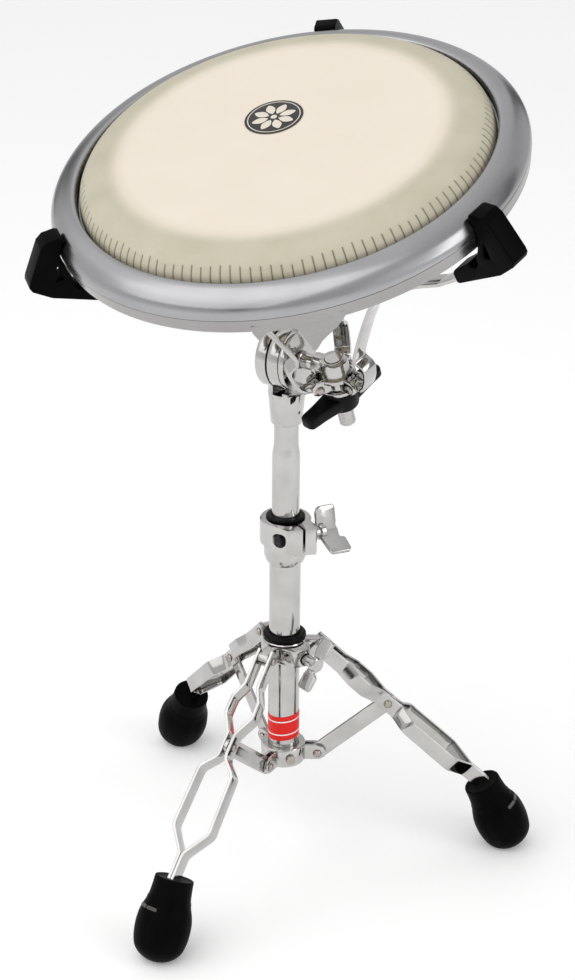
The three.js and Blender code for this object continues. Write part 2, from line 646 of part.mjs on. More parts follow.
group.position.set(0, 0, 0);
for (const mesh of group.children) mesh.geometry.translate(SHIFT_X, SHIFT_Y, 0);

export default group;
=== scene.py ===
import math

import bmesh
import bpy
from mathutils import Matrix, Vector


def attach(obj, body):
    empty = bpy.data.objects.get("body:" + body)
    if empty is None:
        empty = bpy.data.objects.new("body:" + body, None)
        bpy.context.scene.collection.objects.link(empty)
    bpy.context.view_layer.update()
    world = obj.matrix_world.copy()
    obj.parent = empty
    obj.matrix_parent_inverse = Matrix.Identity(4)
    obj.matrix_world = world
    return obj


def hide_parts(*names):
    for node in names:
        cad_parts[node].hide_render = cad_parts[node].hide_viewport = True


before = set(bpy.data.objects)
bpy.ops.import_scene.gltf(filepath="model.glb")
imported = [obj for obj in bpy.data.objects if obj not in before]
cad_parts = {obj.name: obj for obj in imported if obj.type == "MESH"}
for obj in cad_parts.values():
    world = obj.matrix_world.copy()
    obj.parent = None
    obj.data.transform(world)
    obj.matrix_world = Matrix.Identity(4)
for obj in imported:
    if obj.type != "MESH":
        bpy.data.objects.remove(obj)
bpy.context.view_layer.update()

# ------------------------------------------------------------------ places, in millimetres
# The drawing frame is the column's own: its axis is x = y = 0 and the floor is z = 0.
# LEG_, STRUT_, ARM_ and FOOT_ pairs are (outward, up) in the upright plane at that azimuth.
# Angles are in degrees.
SHIFT = Vector((-13.1, 29.4, 0.0))  # from the drawing frame to the part's frame
COLUMN_R = 12.7
TILT_Z = 438.0  # height of the axis that the basket tilts on
ROD_AZIMUTH = -34.0
DRUM_TILT = 21.4
HUB_REACH = 44.0  # from the column's axis to the basket's
SEAM = 181.0  # from the hub to the seam between shell and rim, along the drum's axis
RIM_R = 170.6
HEAD_TOP = 29.0
LEG_AZIMUTH = {"right": 0.0, "front": -120.0, "back": 120.0}
ARM_ANGLES = {"right": -8.0, "back": 112.0, "left": 232.0}
LEG_PIVOT = (29.9, 187.6)
LEG_ANGLE = 43.0
STRUT_FOOT = Vector((28.3, 87.7))
STRUT_RIVET = Vector((85.9, 135.6))
ARM_PIVOT = (17.0, -10.0)
FOOT_TOP = (166.9, 59.3)
FOOT_LEAN = 27.0
LEG_BOLT_Z = 186.0
LEG_BOLT_AZIMUTH = -50.0
LEG_WING_X = 38.0  # where the wings stand along the bolt
CLAMP_BOLT = Vector((8.65, -14.98, 292.0))
CLAMP_BOLT_AZIMUTH = 30.0
CLAMP_WING_X = 20.4
NUT_WING_Z = -27.6
LUG_AZIMUTH = 304.5
GRIP_TOP = {"right": 16.4, "back": 13.6, "left": 16.4}  # above the seam
TUNER_RING_R = 160.0
TUNER_COUNT = 5
TUNER_START = 30
EMBLEM = (-16.0, 17.0)  # its middle, (x, y) on the head
EMBLEM_THICK = 0.3
PETAL_COUNT = 8
CREASES = 131
CREASE_STEPS = 8  # points round the head for each crease
COLLAR_R = 141.5  # the head is pleated outside this radius
SMOOTH_ANGLE = 32.0  # an edge that turns more than this stays sharp
ON_AXIS = 1e-6  # a point nearer the axis than this is on it

MM = Matrix.Scale(0.001, 4)


def rad(degrees):
    return math.radians(degrees)


def turn_z(degrees):
    return Matrix.Rotation(rad(degrees), 4, "Z")


STAND = MM @ Matrix.Translation(SHIFT)
TILTER = STAND @ turn_z(ROD_AZIMUTH) @ Matrix.Translation((0, 0, TILT_Z))
AXIS_X = Vector((math.cos(rad(ROD_AZIMUTH)), math.sin(rad(ROD_AZIMUTH)), 0))
AXIS_Z = Vector((
    math.sin(rad(DRUM_TILT)) * math.cos(rad(ROD_AZIMUTH - 90)),
    math.sin(rad(DRUM_TILT)) * math.sin(rad(ROD_AZIMUTH - 90)),
    math.cos(rad(DRUM_TILT)),
))
AXIS_Y = AXIS_Z.cross(AXIS_X)
HUB = AXIS_X * HUB_REACH + Vector((0, 0, TILT_Z))
BASKET = STAND @ Matrix((
    (AXIS_X.x, AXIS_Y.x, AXIS_Z.x, HUB.x),
    (AXIS_X.y, AXIS_Y.y, AXIS_Z.y, HUB.y),
    (AXIS_X.z, AXIS_Y.z, AXIS_Z.z, HUB.z),
    (0, 0, 0, 1),
))
DRUM = BASKET @ Matrix.Translation((0, 0, SEAM))
CLAMP = STAND @ Matrix.Translation(CLAMP_BOLT) @ turn_z(CLAMP_BOLT_AZIMUTH)
LEG_BOLT = STAND @ Matrix.Translation((0, 0, LEG_BOLT_Z)) @ turn_z(LEG_BOLT_AZIMUTH)
TO_DRUM = DRUM.inverted()


def upright(azimuth):
    """Drawing plane with x outward at that azimuth, y up and z sideways."""
    out = Vector((math.cos(rad(azimuth)), math.sin(rad(azimuth)), 0))
    side = out.cross(Vector((0, 0, 1)))
    return Matrix((
        (out.x, 0, side.x, 0),
        (out.y, 0, side.y, 0),
        (out.z, 1, side.z, 0),
        (0, 0, 0, 1),
    ))


def leg_place(azimuth):
    """x along the leg from its pivot, y across its strap, z sideways."""
    pivot = Matrix.Translation((LEG_PIVOT[0], LEG_PIVOT[1], 0))
    return STAND @ upright(azimuth) @ pivot @ turn_z(-LEG_ANGLE)


def foot_place(azimuth):
    """The boot's own frame: its origin is the boot's upper end, and z runs up its axis."""
    lean = Matrix.Rotation(-rad(FOOT_LEAN), 4, "Y")
    return STAND @ turn_z(azimuth) @ Matrix.Translation((FOOT_TOP[0], 0, FOOT_TOP[1])) @ lean


# ------------------------------------------------------------------ mesh helpers
def keep_mesh(name, mesh, place, smooth_angle=SMOOTH_ANGLE):
    """Puts a mesh into the scene. With no smooth_angle, its sharp edges stay as they are."""
    for polygon in mesh.polygons:
        polygon.use_smooth = True
    if smooth_angle is not None:
        mesh.set_sharp_from_angle(angle=rad(smooth_angle))
    mesh.transform(place)
    mesh.update()
    piece = bpy.data.objects.new(name, mesh)
    bpy.context.scene.collection.objects.link(piece)
    return piece


def from_bmesh(name, bm, place, smooth_angle=SMOOTH_ANGLE):
    bmesh.ops.recalc_face_normals(bm, faces=bm.faces)
    mesh = bpy.data.meshes.new(name)
    bm.to_mesh(mesh)
    bm.free()
    return keep_mesh(name, mesh, place, smooth_angle)


def add_lathe(bm, profile, segments, shape=None):
    """Turns [radius, height] pairs about z. shape(radius, height, angle) may move a point."""
    closed = profile[0][0] > ON_AXIS or profile[-1][0] > ON_AXIS
    rings = []
    for r, z in profile:
        if r < ON_AXIS:
            rings.append([bm.verts.new((0, 0, z))])
            continue
        ring = []
        for i in range(segments):
            a = 2 * math.pi * i / segments
            rr, zz = (r, z) if shape is None else shape(r, z, a)
            ring.append(bm.verts.new((rr * math.cos(a), rr * math.sin(a), zz)))
        rings.append(ring)
    pairs = list(zip(rings, rings[1:]))
    if closed:
        pairs.append((rings[-1], rings[0]))
    for low, high in pairs:
        for i in range(segments):
            j = (i + 1) % segments
            corners = [low[i % len(low)], low[j % len(low)], high[j % len(high)], high[i % len(high)]]
            unique = list(dict.fromkeys(corners))
            if len(unique) > 2:
                bm.faces.new(unique)


def lathe(name, profile, place, segments=64, shape=None, smooth_angle=SMOOTH_ANGLE):
    bm = bmesh.new()
    add_lathe(bm, profile, segments, shape)
    return from_bmesh(name, bm, place, smooth_angle)


def smooth_profile(points, steps=6):
    """Catmull-Rom through the points, for profiles that are drawn as soft curves."""
    out = []
    for i in range(len(points) - 1):
        p0 = points[max(i - 1, 0)]
        p1 = points[i]
        p2 = points[i + 1]
        p3 = points[min(i + 2, len(points) - 1)]
        for s in range(steps):
            t = s / steps
            out.append(tuple(
                0.5 * (2 * p1[k] + (p2[k] - p0[k]) * t
                       + (2 * p0[k] - 5 * p1[k] + 4 * p2[k] - p3[k]) * t * t
                       + (3 * p1[k] - p0[k] - 3 * p2[k] + p3[k]) * t ** 3)
                for k in (0, 1)))
    out.append(tuple(points[-1]))
    return out


def fillet(points, radius, steps=5, closed=False):
    """Rounds the corners of a line of points. A corner that hardly turns stays a point."""
    out = []
    count = len(points)
    for i, p in enumerate(points):
        if not closed and i in (0, count - 1):
            out.append(tuple(p))
            continue
        here = Vector(p)
        before = Vector(points[i - 1]) - here
        after = Vector(points[(i + 1) % count]) - here
        turn = math.pi - before.angle(after)
        room = 0.48 * min(before.length, after.length)
        reach = min(radius * math.tan(turn / 2), room)
        if turn < 0.04 or reach < 1e-3:
            out.append(tuple(p))
            continue
        start = here + before.normalized() * reach
        end = here + after.normalized() * reach
        for s in range(steps + 1):
            t = s / steps
            q = start.lerp(here, t).lerp(here.lerp(end, t), t)
            out.append(tuple(q))
    return out


def band(path, width):
    """The outline of a strip of that width along a path of (x, y) points, with short mitres."""
    left = []
    right = []
    for i, here in enumerate(path):
        before = path[max(i - 1, 0)]
        after = path[min(i + 1, len(path) - 1)]
        d1 = Vector((here[0] - before[0], here[1] - before[1]))
        d2 = Vector((after[0] - here[0], after[1] - here[1]))
        if i == 0:
            d1 = d2.copy()
        if i == len(path) - 1:
            d2 = d1.copy()
        d1.normalize()
        d2.normalize()
        normal = Vector((-d1.y - d2.y, d1.x + d2.x)).normalized()
        mitre = max(0.6, normal.dot(Vector((-d1.y, d1.x))))
        reach = width / 2 / mitre
        left.append((here[0] + normal.x * reach, here[1] + normal.y * reach))
        right.insert(0, (here[0] - normal.x * reach, here[1] - normal.y * reach))
    return left + right


def circle(x, y, radius, start=0.0, end=360.0, steps=24):
    full = abs(end - start) >= 360
    count = steps if full else steps + 1
    return [(x + radius * math.cos(rad(start + (end - start) * i / steps)),
             y + radius * math.sin(rad(start + (end - start) * i / steps))) for i in range(count)]


def plate(name, outline, thick, place, edge=0.4, holes=(), rings=2):
    """A flat plate with rounded edges, centred on z = 0."""
    curve = bpy.data.curves.new(name, "CURVE")
    curve.dimensions = "2D"
    curve.fill_mode = "BOTH"
    curve.extrude = thick / 2 - edge
    curve.bevel_depth = edge
    curve.bevel_resolution = rings
    curve.offset = -edge
    for loop in [outline, *holes]:
        spline = curve.splines.new("POLY")
        spline.points.add(len(loop) - 1)
        for point, (x, y) in zip(spline.points, loop):
            point.co = (x, y, 0, 1)
        spline.use_cyclic_u = True
    holder = bpy.data.objects.new(name + "_curve", curve)
    bpy.context.scene.collection.objects.link(holder)
    bpy.context.view_layer.update()
    mesh = bpy.data.meshes.new_from_object(
        holder.evaluated_get(bpy.context.evaluated_depsgraph_get()))
    bpy.data.objects.remove(holder)
    bpy.data.curves.remove(curve)
    bm = bmesh.new()
    bm.from_mesh(mesh)
    bpy.data.meshes.remove(mesh)
    bmesh.ops.remove_doubles(bm, verts=bm.verts, dist=0.002)
    return from_bmesh(name, bm, place, smooth_angle=28.0)


def merge(name, pieces):
    """Joins pieces that are already in place into one object."""
    bm = bmesh.new()
    for piece in pieces:
        bm.from_mesh(piece.data)
    mesh = bpy.data.meshes.new(name)
    bm.to_mesh(mesh)
    bm.free()
    for piece in pieces:
        old = piece.data
        bpy.data.objects.remove(piece)
        bpy.data.meshes.remove(old)
    return keep_mesh(name, mesh, Matrix(), smooth_angle=None)


# ------------------------------------------------------------------ materials
def set_stops(ramp, stops):
    """Gives a colour ramp its (position, grey or colour) stops."""
    elements = ramp.elements
    while len(elements) < len(stops):
        elements.new(0.5)
    for element, (position, value) in zip(elements, stops):
        color = value if isinstance(value, tuple) else (value, value, value)
        element.position = position
        element.color = (*color, 1)


class Shade:
    """A node tree with a Principled shader, and short words for what is wired into it."""

    def __init__(self, name, color, roughness, metallic=0.0):
        self.material = bpy.data.materials.new(name)
        self.material.use_nodes = True
        self.tree = self.material.node_tree
        self.nodes = self.tree.nodes
        self.shader = self.nodes["Principled BSDF"]
        self.shader.inputs["Base Color"].default_value = (*color, 1)
        self.shader.inputs["Roughness"].default_value = roughness
        self.shader.inputs["Metallic"].default_value = metallic
        self.coord = self.nodes.new("ShaderNodeTexCoord")

    def link(self, a, b):
        self.tree.links.new(a, b)

    def noise(self, scale, detail=4.0, stretch=(1, 1, 1), rough=0.5, where=None):
        mapping = self.nodes.new("ShaderNodeMapping")
        mapping.inputs["Scale"].default_value = stretch
        self.link(where or self.coord.outputs["Object"], mapping.inputs["Vector"])
        node = self.nodes.new("ShaderNodeTexNoise")
        node.inputs["Scale"].default_value = scale
        node.inputs["Detail"].default_value = detail
        node.inputs["Roughness"].default_value = rough
        self.link(mapping.outputs["Vector"], node.inputs["Vector"])
        return node.outputs["Fac"]

    def ramp(self, source, stops):
        node = self.nodes.new("ShaderNodeValToRGB")
        set_stops(node.color_ramp, stops)
        self.link(source, node.inputs["Fac"])
        return node.outputs["Color"]

    def mix(self, factor, a, b):
        node = self.nodes.new("ShaderNodeMix")
        node.data_type = "RGBA"
        for socket, value in ((node.inputs[0], factor), (node.inputs[6], a), (node.inputs[7], b)):
            if isinstance(value, (int, float)):
                socket.default_value = value
            elif isinstance(value, tuple):
                socket.default_value = (*value, 1)
            else:
                self.link(value, socket)
        return node.outputs[2]

    def bump(self, height, strength, distance=0.0002):
        node = self.nodes.new("ShaderNodeBump")
        node.inputs["Strength"].default_value = strength
        node.inputs["Distance"].default_value = distance
        self.link(height, node.inputs["Height"])
        self.link(node.outputs["Normal"], self.shader.inputs["Normal"])

    def set(self, socket, source):
        self.link(source, self.shader.inputs[socket])


def make_chrome(name, tone, rough_low, rough_high, bump=0.02):
    s = Shade(name, tone, rough_low, 1.0)
    cloudy = s.noise(55, 5)
    fine = s.noise(420, 3)
    darker = tuple(c * 0.86 for c in tone)
    s.set("Base Color", s.mix(s.ramp(cloudy, [(0.35, 0.0), (0.7, 1.0)]), tone, darker))
    smear = s.ramp(s.noise(26, 6, rough=0.65), [(0.38, rough_low), (0.72, rough_high)])
    s.set("Roughness", smear)
    s.bump(s.mix(0.25, cloudy, fine), bump, 0.0004)
    return s.material


def make_turned(name, tone, low, high):
    """Polished metal with fine marks that run round the drum's axis."""
    s = Shade(name, tone, low, 1.0)
    turned = s.nodes.new("ShaderNodeAttribute")
    turned.attribute_name = "turned"
    rows = s.noise(1.0, 3, stretch=(2.0, 2600, 2600), where=turned.outputs["Vector"])
    wide = s.noise(1.0, 5, stretch=(5.0, 90, 90), where=turned.outputs["Vector"])
    cloud = s.noise(14, 5)
    fine_rough = s.ramp(rows, [(0.3, low), (0.7, high)])
    wide_rough = s.ramp(wide, [(0.3, low), (0.75, high)])
    s.set("Roughness", s.mix(0.5, fine_rough, wide_rough))
    darker = tuple(c * 0.82 for c in tone)
    s.set("Base Color", s.mix(s.ramp(cloud, [(0.35, 0.0), (0.75, 1.0)]), tone, darker))
    s.shader.inputs["Anisotropic"].default_value = 0.35
    s.bump(s.mix(0.6, rows, wide), 0.06, 0.00005)
    return s.material


def make_rubber(name, tone, rough):
    s = Shade(name, tone, rough)
    grain = s.noise(900, 4)
    patches = s.noise(38, 5)
    lighter = tuple(c * 1.8 + 0.001 for c in tone)
    s.set("Base Color", s.mix(s.ramp(patches, [(0.42, 0.0), (0.8, 1.0)]), tone, lighter))
    s.set("Roughness", s.ramp(patches, [(0.3, rough - 0.08), (0.75, rough + 0.12)]))
    s.shader.inputs["Specular IOR Level"].default_value = 0.035
    s.bump(grain, 0.22, 0.00012)
    return s.material


def make_skin():
    s = Shade("head_film", (0.83, 0.75, 0.63), 0.55)
    attribute = s.nodes.new("ShaderNodeAttribute")
    attribute.attribute_name = "tone"
    parts = s.nodes.new("ShaderNodeSeparateColor")
    s.link(attribute.outputs["Color"], parts.inputs[0])
    collar = parts.outputs[0]
    crease_shade_mask = parts.outputs[1]
    mottle = s.noise(34, 6, rough=0.6)
    broad = s.noise(7, 4)
    fibre = s.noise(260, 5)
    top = s.mix(s.ramp(broad, [(0.35, 0.0), (0.7, 1.0)]), (0.80, 0.72, 0.61), (0.76, 0.68, 0.57))
    top = s.mix(s.ramp(mottle, [(0.5, 0.0), (0.8, 0.5)]), top, (0.82, 0.75, 0.65))
    side = s.mix(s.ramp(mottle, [(0.35, 0.0), (0.7, 1.0)]), (0.50, 0.465, 0.35), (0.55, 0.51, 0.40))
    skin = s.mix(collar, top, side)
    # painted shade: the creases are darkened in the head's colour
    skin = s.mix(crease_shade_mask, skin, (0.15, 0.115, 0.075))
    s.set("Base Color", skin)
    s.set("Roughness", s.ramp(mottle, [(0.3, 0.42), (0.75, 0.6)]))
    s.shader.inputs["Subsurface Weight"].default_value = 0.08
    s.shader.inputs["Subsurface Radius"].default_value = (0.004, 0.003, 0.002)
    s.shader.inputs["Specular IOR Level"].default_value = 0.38
    s.bump(s.mix(0.5, mottle, fibre), 0.18, 0.00025)
    return s.material


def make_ink(name, tone):
    s = Shade(name, tone, 0.45)
    wear = s.noise(300, 4)
    s.set("Base Color", s.mix(s.ramp(wear, [(0.45, 0.0), (0.8, 0.35)]), tone,
                              tuple(c + 0.05 for c in tone)))
    s.set("Roughness", s.ramp(wear, [(0.3, 0.38), (0.7, 0.55)]))
    return s.material


def make_plastic(name, tone, rough, lift=1.6):
    s = Shade(name, tone, rough)
    grain = s.noise(700, 3)
    wide = s.noise(30, 4)
    s.set("Base Color", s.mix(s.ramp(wide, [(0.4, 0.0), (0.8, 1.0)]), tone,
                              tuple(c * lift for c in tone)))
    s.set("Roughness", s.ramp(wide, [(0.3, rough - 0.06), (0.7, rough + 0.08)]))
    s.shader.inputs["Specular IOR Level"].default_value = 0.12
    s.bump(grain, 0.1, 0.00008)
    return s.material


def make_floor():
    s = Shade("studio_floor", (0.9, 0.9, 0.9), 0.8)
    s.set("Base Color", s.ramp(s.noise(1.3, 2), [(0.3, 0.965), (0.7, 0.975)]))
    s.shader.inputs["Emission Color"].default_value = (1, 1, 1, 1)
    s.shader.inputs["Emission Strength"].default_value = 0.11
    return s.material


CHROME = make_chrome("bright_plate", (0.53, 0.52, 0.505), 0.06, 0.15)
CAST = make_chrome("cast_plate", (0.54, 0.53, 0.515), 0.09, 0.2, 0.05)
FASTENER = make_chrome("dull_plate", (0.42, 0.38, 0.35), 0.2, 0.4, 0.05)
DARK_STEEL = make_chrome("dark_steel", (0.3, 0.3, 0.3), 0.25, 0.4)
ALUMINIUM = make_turned("polished_rim", (0.40, 0.40, 0.41), 0.16, 0.3)
SHELL_METAL = make_turned("polished_shell", (0.38, 0.372, 0.366), 0.2, 0.34)
RUBBER = make_rubber("boot_rubber", (0.0008, 0.0008, 0.0008), 0.46)
# painted highlight: the raised bars on the boots are lighter than the boot rubber
MARK_HIGHLIGHT = make_rubber("boot_mark_highlight", (0.09, 0.085, 0.083), 0.3)
GRIP = make_rubber("grip_rubber", (0.0008, 0.0008, 0.0009), 0.4)
PLASTIC = make_plastic("black_moulding", (0.0012, 0.0012, 0.0014), 0.38)
RED = make_plastic("red_sleeve", (0.70, 0.022, 0.018), 0.34, 1.1)
WHITE = make_plastic("pale_stripe", (0.85, 0.83, 0.8), 0.4, 1.02)
SKIN = make_skin()
INK = make_ink("emblem_ink", (0.018, 0.016, 0.016))
PALE_INK = make_ink("emblem_pale", (0.72, 0.66, 0.56))


def finish(piece, material, body, slot, *nodes):
    """Gives a piece its material and its body, and hides the nodes it stands for. The slot is not used.
    """
    piece.data.materials.clear()
    piece.data.materials.append(material)
    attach(piece, body)
    if nodes:
        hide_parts(*nodes)


# ------------------------------------------------------------------ CAD nodes that stay
def smooth_by_angle(angle):
    """A node group that shades smooth and keeps edges sharper than the angle."""
    tree = bpy.data.node_groups.new("smooth_by_angle", "GeometryNodeTree")
    tree.interface.new_socket("Geometry", in_out="INPUT", socket_type="NodeSocketGeometry")
    tree.interface.new_socket("Geometry", in_out="OUTPUT", socket_type="NodeSocketGeometry")
    start = tree.nodes.new("NodeGroupInput")
    end = tree.nodes.new("NodeGroupOutput")
    smooth = tree.nodes.new("GeometryNodeSetShadeSmooth")
    smooth.domain = "FACE"
    smooth.inputs["Shade Smooth"].default_value = True
    sharp = tree.nodes.new("GeometryNodeSetShadeSmooth")
    sharp.domain = "EDGE"
    sharp.inputs["Shade Smooth"].default_value = False
    edge = tree.nodes.new("GeometryNodeInputMeshEdgeAngle")
    compare = tree.nodes.new("FunctionNodeCompare")
    compare.data_type = "FLOAT"
    compare.operation = "GREATER_THAN"
    compare.inputs[1].default_value = rad(angle)
    tree.links.new(edge.outputs["Unsigned Angle"], compare.inputs[0])
    tree.links.new(start.outputs[0], smooth.inputs["Geometry"])
    tree.links.new(smooth.outputs[0], sharp.inputs["Geometry"])
    tree.links.new(compare.outputs[0], sharp.inputs["Selection"])
    tree.links.new(sharp.outputs[0], end.inputs[0])
    return tree


SMOOTH = smooth_by_angle(SMOOTH_ANGLE)


def dress(node, material, edge=0.35):
    """Rounds the edges of a CAD node with modifiers and gives it its finish."""
    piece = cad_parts[node]
    weld = piece.modifiers.new("weld", "WELD")
    weld.merge_threshold = 0.00001
    flat = piece.modifiers.new("flat", "DECIMATE")
    flat.decimate_type = "DISSOLVE"
    flat.angle_limit = rad(1.0)
    bevel = piece.modifiers.new("edge", "BEVEL")
    bevel.width = edge * 0.001
    bevel.segments = 2
    bevel.limit_method = "ANGLE"
    bevel.angle_limit = rad(38)
    bevel.use_clamp_overlap = True
    smooth = piece.modifiers.new("smooth", "NODES")
    smooth.node_group = SMOOTH
    if not piece.material_slots:
        piece.data.materials.append(material)
    for slot in piece.material_slots:
        slot.material = material


for node in ("bottom_bracket", "leg_collar", "height_clamp", "tilter_post", "basket_hub"):
    dress(node, CAST)
for node in ("tilter_rotor", "tilter_face", "pressure_disc"):
    dress(node, CAST, 0.5)
for node in ("tilter_gasket", "tube_end_cap", "height_bush", "clamp_plug"):
    dress(node, PLASTIC, 0.2)
for node in ("bracket_screw", "tilter_bolt"):
    dress(node, FASTENER, 0.25)
for side in LEG_AZIMUTH:
    for node in ("leg_pin_", "leg_rivet_", "strut_pin_"):
        dress(node + side, FASTENER, 0.2)
for side in ARM_ANGLES:
    dress("arm_pin_" + side, FASTENER, 0.2)


# ------------------------------------------------------------------ column
lower = lathe("column_lower", [
    (11.4, 84), (12.2, 84), (COLUMN_R, 84.5), (COLUMN_R, 299.5), (12.2, 300), (11.4, 300),
], STAND, 96)
finish(lower, CHROME, "stand", "chrome", "lower_tube")
upper = lathe("column_upper", [
    (0, 140), (10.6, 140), (11.1, 140.5), (11.1, 352), (11.05, 355), (10.8, 359), (10.1, 363),
    (9.8, 366), (9.75, 370), (9.75, 392), (0, 392),
], STAND, 96)
finish(upper, CHROME, "mast", "chrome", "upper_tube")
ring = lathe("collar_ring", smooth_profile([
    (13.0, 196.3), (15.4, 196.3), (17.3, 197.1), (17.8, 198.7), (16.9, 200.5), (15, 201.2), (13.0, 200.6),
], 5), STAND, 80)
finish(ring, PLASTIC, "leg_slider", "black_plastic", "leg_collar_ring")


def sleeve(name, radius, low, high, start, end, thick=0.25):
    """A thin curved patch round the column; low and high are functions of the azimuth."""
    steps = 72
    inset = 0.15
    bm = bmesh.new()
    columns = []
    for i in range(steps + 1):
        a = start + (end - start) * i / steps
        c = math.cos(rad(a))
        s = math.sin(rad(a))
        outer = radius + thick
        columns.append([
            bm.verts.new((radius * c, radius * s, low(a))),
            bm.verts.new((radius * c, radius * s, high(a))),
            bm.verts.new((outer * c, outer * s, high(a) - inset)),
            bm.verts.new((outer * c, outer * s, low(a) + inset)),
        ])
    for a, b in zip(columns, columns[1:]):
        for k in range(4):
            bm.faces.new((a[k], b[k], b[(k + 1) % 4], a[(k + 1) % 4]))
    bm.faces.new(columns[0])
    bm.faces.new(columns[-1][::-1])
    return from_bmesh(name, bm, STAND, smooth_angle=40)


def slant(base, rise):
    """A height that rises and falls once round the column."""
    return lambda azimuth: base + rise * math.cos(rad(azimuth))


red_band = sleeve("colour_sleeve", COLUMN_R + 0.08, slant(104.6, 1.1), slant(127, 1.4), -178, 2)
finish(red_band, RED, "stand", "red_band", "colour_band")
for number, height in enumerate((109.5, 121.6)):
    bottom = slant(height, 1.2)
    top = slant(height + 1.1, 1.2)
    stripe = sleeve("sleeve_stripe_%d" % number, COLUMN_R + 0.36, bottom, top, -176, 0, thick=0.12)
    finish(stripe, WHITE, "stand", "red_band")


# ------------------------------------------------------------------ wing bolts
def lobe(name, outline, along, swing, place):
    """A flat wing at that place along the bolt, drawn with x along the bolt and y outward."""
    rounded = fillet(outline, 1.8, 5, closed=True)
    root = place @ Matrix.Translation((along, 0, 0))
    swung = root @ Matrix.Rotation(rad(swing), 4, "X") @ Matrix.Rotation(rad(90), 4, "X")
    return plate(name, rounded, 3.2, swung, 0.9, rings=3)


def bolt_body(name, parts, place):
    """A turned body along +x from (x, radius) pairs."""
    profile = [(0, parts[0][0])] + [(r, x) for x, r in parts] + [(0, parts[-1][0])]
    return lathe(name, profile, place @ Matrix.Rotation(rad(90), 4, "Y"), 48)


small_lobe = [
    (-3, 2), (3.6, 2), (4.4, 6.6), (8, 8.6), (9, 10.4), (9, 20.4), (7.4, 22.5), (-3, 22.5),
    (-4.8, 20.8), (-5, 10.4), (-3.6, 7),
]
leg_wing = merge("leg_wing_bolt_looks", [
    bolt_body("leg_bolt_body", [
        (13.2, 3.2), (24.0, 3.2), (24.0, 4.2), (24.5, 4.6), (37.4, 4.6), (37.4, 5.6),
        (38.2, 6.4), (41.6, 6.4), (42.5, 5.4),
    ], LEG_BOLT),
    lobe("leg_bolt_wing", small_lobe, LEG_WING_X, -37, LEG_BOLT),
    lobe("leg_bolt_other_wing", small_lobe, LEG_WING_X, 143, LEG_BOLT),
])
finish(leg_wing, CHROME, "leg_wing", "chrome", "leg_wing_bolt")
upper_lobe = [
    (-1.6, 0), (15, 0), (16.2, 6), (16.6, 17), (15.4, 19.8), (3, 20.2), (0, 18.6), (-1.4, 15),
    (-2, 6),
]
lower_lobe = [
    (-1, -4), (0, -4.4), (17, -4.2), (16, 3), (14, 9), (14.2, 10.4), (17.2, 11), (17.8, 14),
    (17, 24), (14.6, 26.4), (0, 25.4), (-1.8, 23), (-2.2, 10), (-2.2, -1),
]
height_wing = merge("height_wing_bolt_looks", [
    bolt_body("clamp_bolt_body", [
        (-10.5, 3.0), (14.2, 3.0), (14.2, 4.8), (14.7, 5.2), (19.8, 5.2), (19.8, 6.2),
        (20.6, 7.0), (24.0, 7.0), (24.9, 6.0),
    ], CLAMP),
    lobe("clamp_bolt_upper_wing", upper_lobe, CLAMP_WING_X, -16, CLAMP),
    lobe("clamp_bolt_lower_wing", lower_lobe, CLAMP_WING_X, 112, CLAMP),
])
finish(height_wing, CHROME, "height_wing", "chrome", "height_wing_bolt")


# ------------------------------------------------------------------ legs, struts and boots
def strap_path(side):
    """One strap of a leg, bowed outward twice; side is 1 or -1."""
    path = [
        (-6.5, 5.9), (25, 5.9), (37, 11.8), (51, 12.2), (67, 3.15), (87, 3.15),
        (99, 15), (149, 16.2), (169, 1.4), (197, 1.4),
    ]
    return fillet([(x, side * z) for x, z in path], 9.0, 6)


def strap(name, side, place):
    outline = band(strap_path(side), 2.6)
    return plate(name, outline, 13.0, place @ Matrix.Rotation(rad(90), 4, "X"), 0.45)


def strut(name, place):
    run = STRUT_RIVET - STRUT_FOOT
    outline = circle(0, 0, 7, 90, 270, 16) + circle(run.length, 0, 7, -90, 90, 16)
    turn = turn_z(math.degrees(math.atan2(run.y, run.x)))
    where = place @ Matrix.Translation((STRUT_FOOT.x, STRUT_FOOT.y, 0)) @ turn
    return plate(name, outline, 3.0, where, 0.45, holes=[circle(0, 0, 2.3, steps=16)])


BOOT = [
    (0, 0.3), (12.6, 0.3), (13.6, 0), (15.0, 0.1), (15.5, 0.8), (15.7, 4), (16.1, 10), (16.9, 16),
    (18.3, 20.4), (20.2, 25), (21.6, 30), (22.3, 36), (22.3, 42), (21.7, 48), (20.2, 54),
    (17.6, 58.6), (13.4, 62.6), (8, 65.4), (3, 66.6), (0, 66.8),
]


def boot(name, azimuth):
    """The rubber boot, turned with z down its axis and cut flat where it meets the floor."""
    flip = foot_place(azimuth) @ Matrix.Rotation(math.pi, 4, "X")
    profile = [BOOT[0]] + smooth_profile(BOOT[1:-1], 4) + [BOOT[-1]]

    def moulded(r, z, angle):
        """Six shallow flutes on the swell, a raised ring above them and a groove near the top."""
        facet = 0.0
        if 18 < z < 60:
            ease = min(1.0, (z - 18) / 6, (60 - z) / 8)
            facet = -0.5 * ease * (0.5 + 0.5 * math.cos(6 * angle)) ** 3
        ring = 0.35 * math.exp(-((z - 17.6) / 0.9) ** 2)
        groove = 0.3 * math.exp(-((z - 6.0) / 0.5) ** 2)
        return r + facet + ring - groove, z

    body = lathe(name, profile, flip, 96, moulded, 50)
    lowest = 0.0001
    for vertex in body.data.vertices:
        vertex.co.z = max(vertex.co.z, lowest)
    return body


def boot_marks(name, azimuth):
    """Two short raised bars moulded on the outer side of the boot."""
    outline = fillet([(-4.6, -1.4), (4.6, -1.4), (4.6, 1.4), (-4.6, 1.4)], 1.2, 4, closed=True)
    parts = []
    for angle in (-38, -8):
        where = foot_place(azimuth) @ turn_z(angle) @ Matrix.Translation((19.6, 0, -24.4))
        where = where @ Matrix.Rotation(rad(72), 4, "Y") @ turn_z(90)
        parts.append(plate("boot_mark_bar", outline, 1.6, where, 0.35))
    return merge(name, parts)


